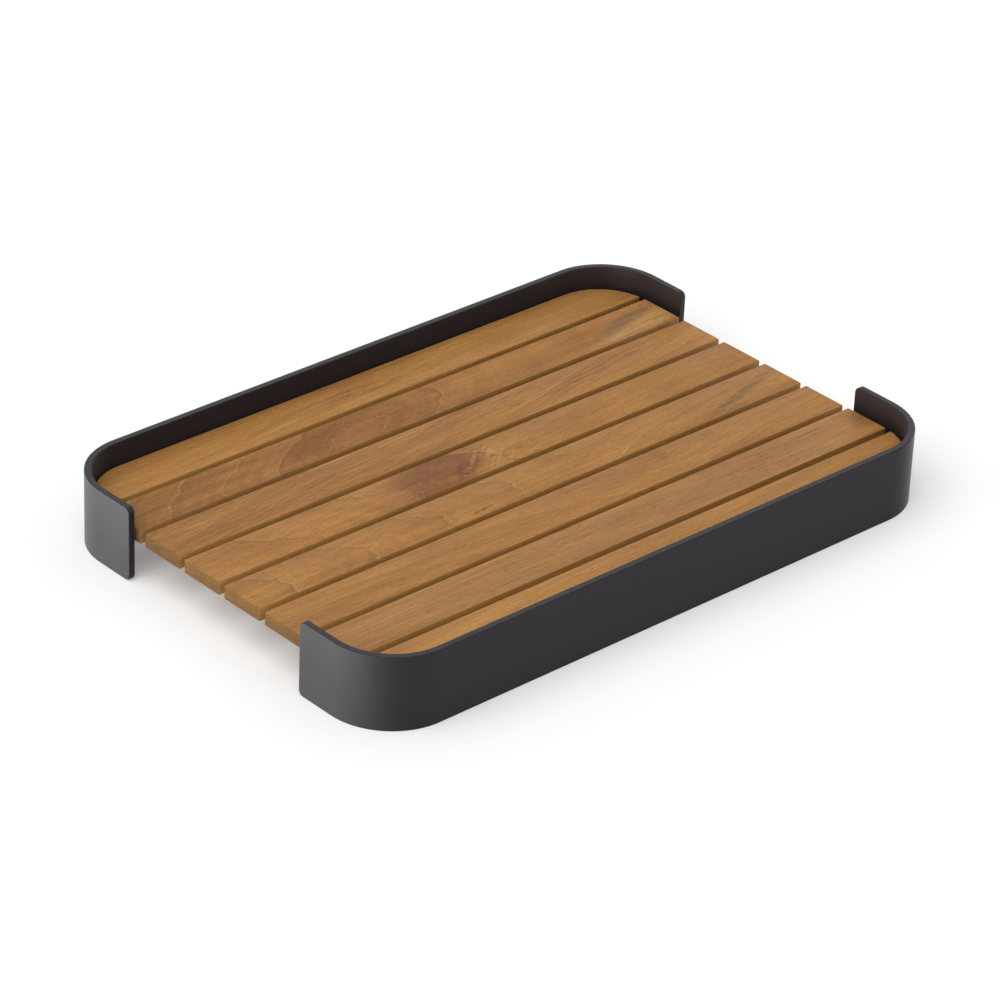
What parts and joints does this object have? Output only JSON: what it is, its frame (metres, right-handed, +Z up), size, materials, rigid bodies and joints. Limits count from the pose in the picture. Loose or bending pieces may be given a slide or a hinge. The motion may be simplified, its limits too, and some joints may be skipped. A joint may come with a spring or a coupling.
{
  "type": "serving tray",
  "caption": "Outdoor serving tray: hardwood slats between two bent flat-bar rails that stand up as a rim, with open ends that leave hand holds under the slats.",
  "frame": {"origin": "middle of the tray's footprint, on the surface that the rails stand on", "axes": "+X along the slats to the right-hand open end, +Y across the slats to the back rail, +Z up"},
  "size_m": [0.6, 0.4, 0.065],
  "materials": {
    "slat_wood": "oiled teak with straight grain, satin to matt",
    "rail_coat": "anthracite powder coat, fine texture, satin to matt",
    "screw_steel": "plain stainless steel, satin"
  },
  "bodies": {
    "root": {"slat_1": "slat_wood", "slat_2": "slat_wood", "slat_3": "slat_wood", "slat_4": "slat_wood", "slat_5": "slat_wood", "slat_6": "slat_wood", "slat_7": "slat_wood", "slat_8": "slat_wood", "rail_back": "rail_coat", "rail_front": "rail_coat", "cross_bar_left": "rail_coat", "cross_bar_middle": "rail_coat", "cross_bar_right": "rail_coat", "screw_left_1": "screw_steel", "screw_left_2": "screw_steel", "screw_left_3": "screw_steel", "screw_left_4": "screw_steel", "screw_left_5": "screw_steel", "screw_left_6": "screw_steel", "screw_left_7": "screw_steel", "screw_left_8": "screw_steel", "screw_middle_1": "screw_steel", "screw_middle_2": "screw_steel", "screw_middle_3": "screw_steel", "screw_middle_4": "screw_steel", "screw_middle_5": "screw_steel", "screw_middle_6": "screw_steel", "screw_middle_7": "screw_steel", "screw_middle_8": "screw_steel", "screw_right_1": "screw_steel", "screw_right_2": "screw_steel", "screw_right_3": "screw_steel", "screw_right_4": "screw_steel", "screw_right_5": "screw_steel", "screw_right_6": "screw_steel", "screw_right_7": "screw_steel", "screw_right_8": "screw_steel"}
  },
  "joints": []
}
